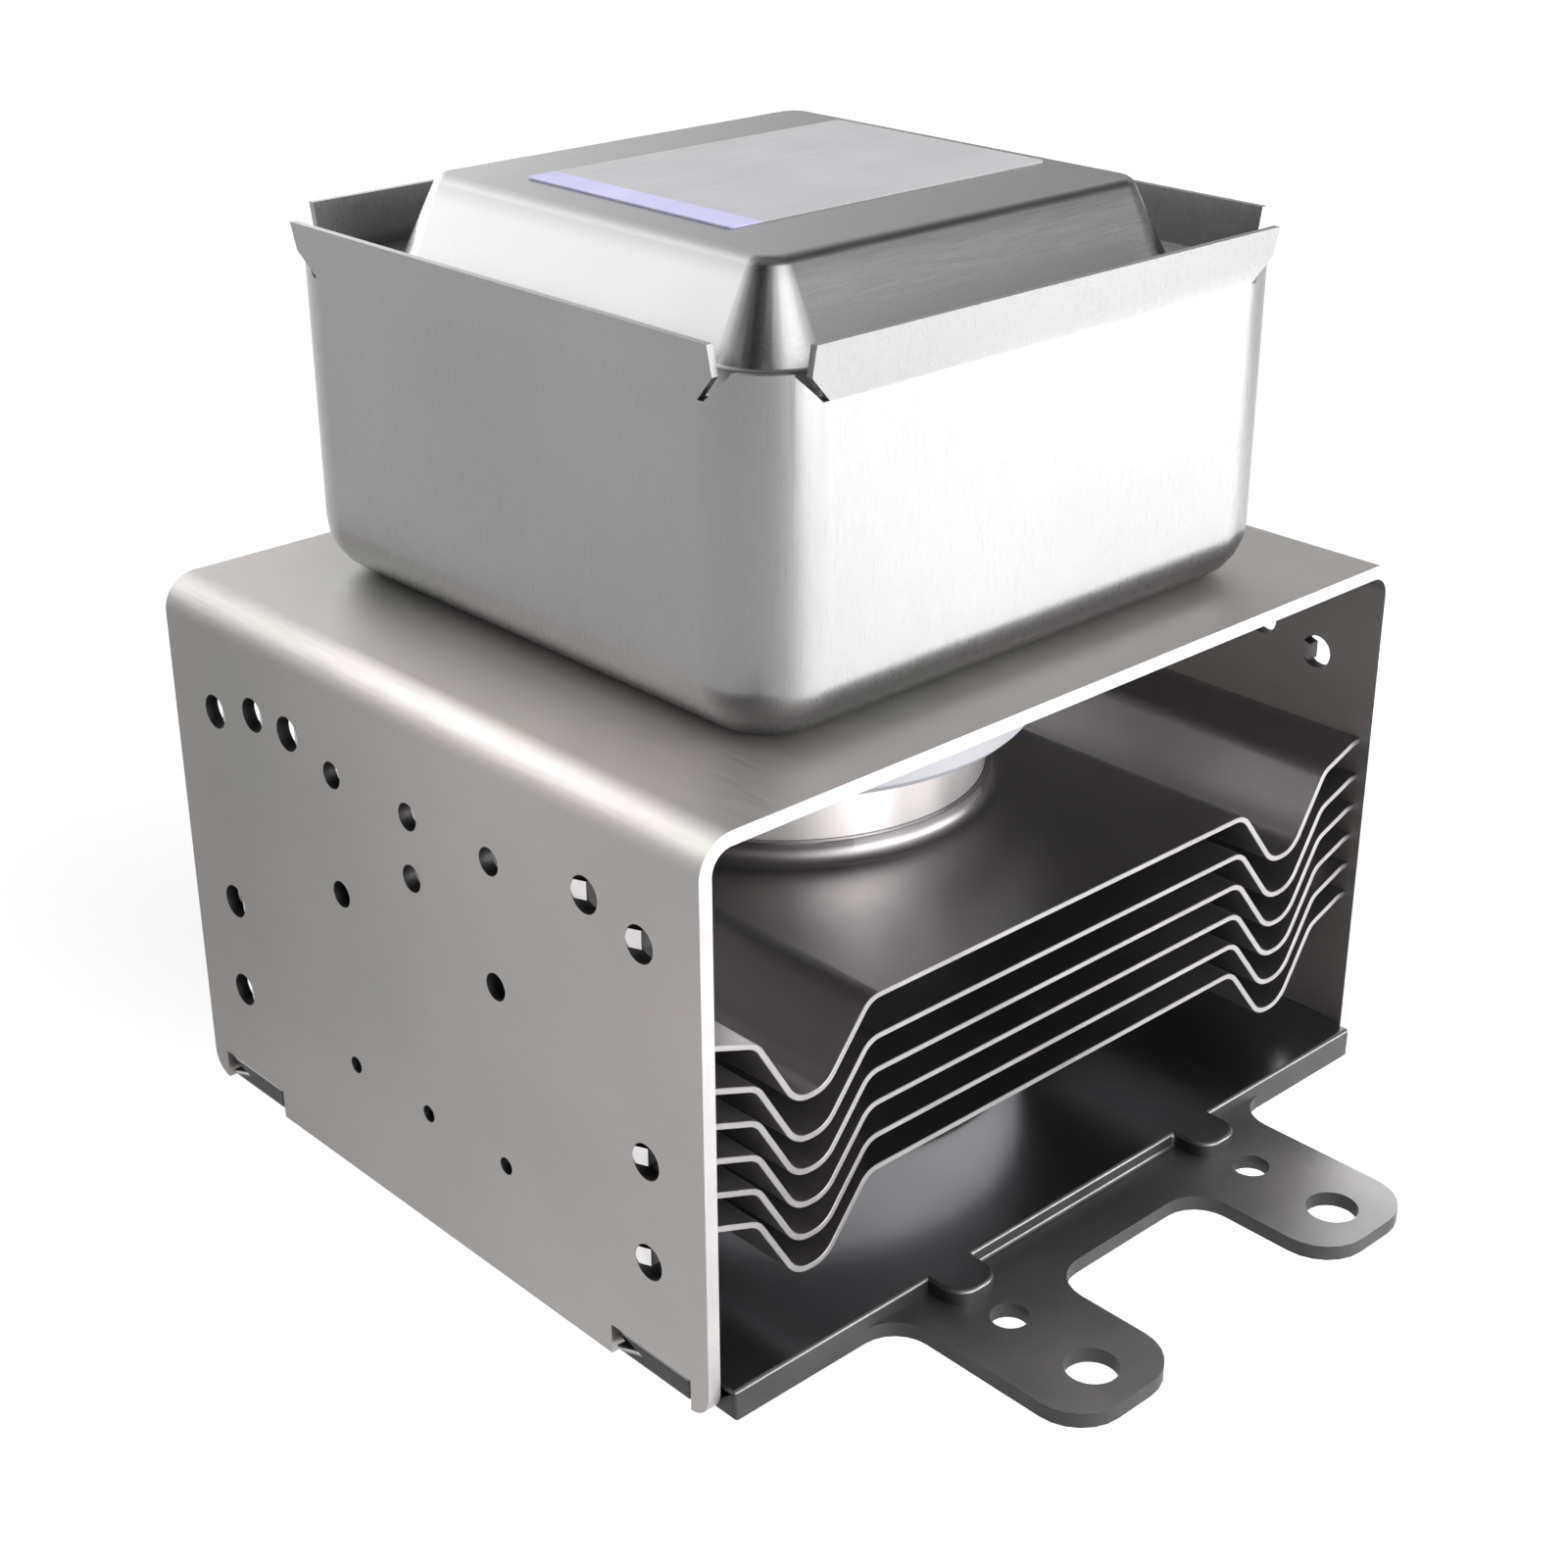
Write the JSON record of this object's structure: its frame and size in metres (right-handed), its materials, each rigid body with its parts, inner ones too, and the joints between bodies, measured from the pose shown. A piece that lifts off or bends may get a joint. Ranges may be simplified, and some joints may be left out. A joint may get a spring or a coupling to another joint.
{
  "type": "magnetron",
  "caption": "Microwave-oven magnetron: ring magnets and a finned anode tube in a folded steel yoke, with a drawn filter box on top, an eared mounting plate and an antenna below.",
  "frame": {"origin": "on the tube's axis at the mounting face, the underside of the plate's ears", "axes": "+Z from the mounting face towards the filter box, +X across the open front of the yoke from the wall seen on the left in the picture to the other wall, +Y towards the back"},
  "size_m": [0.095, 0.131, 0.1225],
  "materials": {
    "zinc_steel": "satin zinc",
    "plate_steel": "dull zinc",
    "tinned_steel": "bright satin",
    "ferrite": "matt",
    "aluminium": "rolled",
    "copper": "plain copper",
    "anode_metal": "polished",
    "white_ceramic": "matt",
    "tungsten": "dull",
    "brown_plastic": "moulded",
    "label": "blank foil label",
    "mesh": "knitted mesh"
  },
  "bodies": {
    "root": {"yoke_frame": "zinc_steel", "mounting_plate": "plate_steel", "upper_magnet": "ferrite", "lower_magnet": "ferrite", "anode_shell": "anode_metal", "anode_vanes": "copper", "strap_rings": "copper", "upper_pole_piece": "zinc_steel", "lower_pole_piece": "zinc_steel", "input_sleeve": "zinc_steel", "output_sleeve": "zinc_steel", "stem_ceramic": "white_ceramic", "cathode_filament": "tungsten", "upper_end_hat": "tungsten", "lower_end_hat": "tungsten", "centre_lead": "tungsten", "side_lead": "tungsten", "antenna_lead": "copper", "antenna_ceramic": "white_ceramic", "antenna_cap": "tinned_steel", "exhaust_tube": "copper", "rf_gasket": "mesh", "filter_box": "tinned_steel", "filter_lid": "tinned_steel", "lid_label": "label", "box_rivets": "zinc_steel", "feedthrough_body": "brown_plastic", "feedthrough_plate": "tinned_steel", "feedthrough_rivets": "zinc_steel", "terminal_blade_a": "tinned_steel", "terminal_blade_b": "tinned_steel", "choke_coil_a": "copper", "choke_coil_b": "copper", "choke_core_a": "ferrite", "choke_core_b": "ferrite", "cooling_fin_1": "aluminium", "cooling_fin_2": "aluminium", "cooling_fin_3": "aluminium", "cooling_fin_4": "aluminium", "cooling_fin_5": "aluminium", "cooling_fin_6": "aluminium"}
  },
  "joints": []
}
